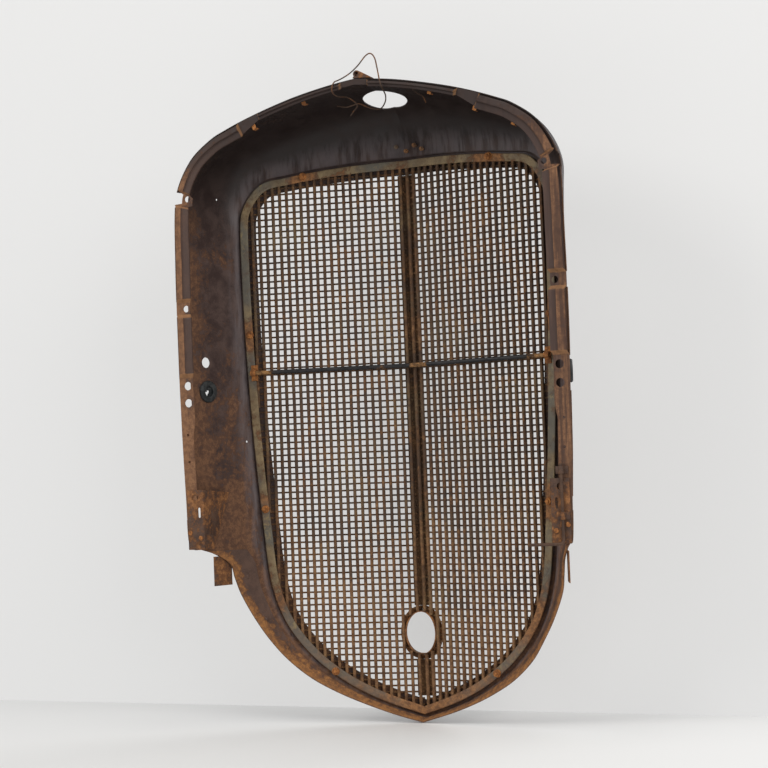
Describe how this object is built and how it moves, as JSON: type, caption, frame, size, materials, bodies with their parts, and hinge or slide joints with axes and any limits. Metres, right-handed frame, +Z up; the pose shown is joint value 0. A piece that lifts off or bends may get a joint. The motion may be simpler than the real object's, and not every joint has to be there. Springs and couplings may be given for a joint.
{
  "type": "front grille shell",
  "caption": "Deep stamped grille shell with a V-folded wire mesh, retaining frames, hood ledge, cross brace, crank hole, grommets and a small turning latch rod.",
  "frame": {"origin": "centre of the four paired mounting holes, on the rear face of the hood ledge", "axes": "+X to the right as seen from behind, +Y forward to the mesh fold, +Z up"},
  "size_m": [0.613, 0.1947, 0.9727],
  "materials": {
    "shell": "weathered brown-black primer with rust",
    "ledge": "rusty brown paint",
    "mesh": "rusted wire",
    "frame": "olive-brown primer with rust",
    "ring": "rusty brown",
    "rod": "worn black paint",
    "tab": "orange-brown rust",
    "bracket": "rusty brown paint",
    "strip": "orange-brown rust",
    "rubber": "aged",
    "fastener": "rusted",
    "wire": "rusted"
  },
  "bodies": {
    "shell": {"shell_left": "shell", "shell_right": "shell", "hood_ledge_left": "ledge", "hood_ledge_right": "ledge", "uprights_left": "mesh", "uprights_right": "mesh", "cross_wires_left": "mesh", "cross_wires_right": "mesh", "retaining_frame_left": "frame", "retaining_frame_right": "frame", "centre_moulding": "mesh", "crank_ring": "ring", "brace_rod": "rod", "brace_tab_left": "tab", "brace_tab_right": "tab", "corner_bracket_left": "bracket", "corner_bracket_right": "bracket", "side_tab_left": "bracket", "side_tab_right": "bracket", "lip_strip_left": "strip", "lip_strip_right": "strip", "grommet_left": "rubber", "grommet_right": "rubber", "hood_hinge_bracket": "bracket", "latch_clips": "bracket", "frame_bolts": "fastener", "frame_nuts": "fastener", "bracket_rivets": "fastener", "lip_rivets": "fastener", "header_studs": "fastener", "header_stud_nuts": "fastener", "rim_clips": "fastener", "hanging_wire": "wire", "wire_stub": "wire"},
    "latch": {"latch_rod": "fastener"}
  },
  "joints": [
    {"name": "latch_turn", "type": "hinge", "parent": "shell", "child": "latch", "pos_m": [0.287, -0.0052, -0.174], "axis": [0, 0, 1], "range_deg": [-15, 75]}
  ]
}
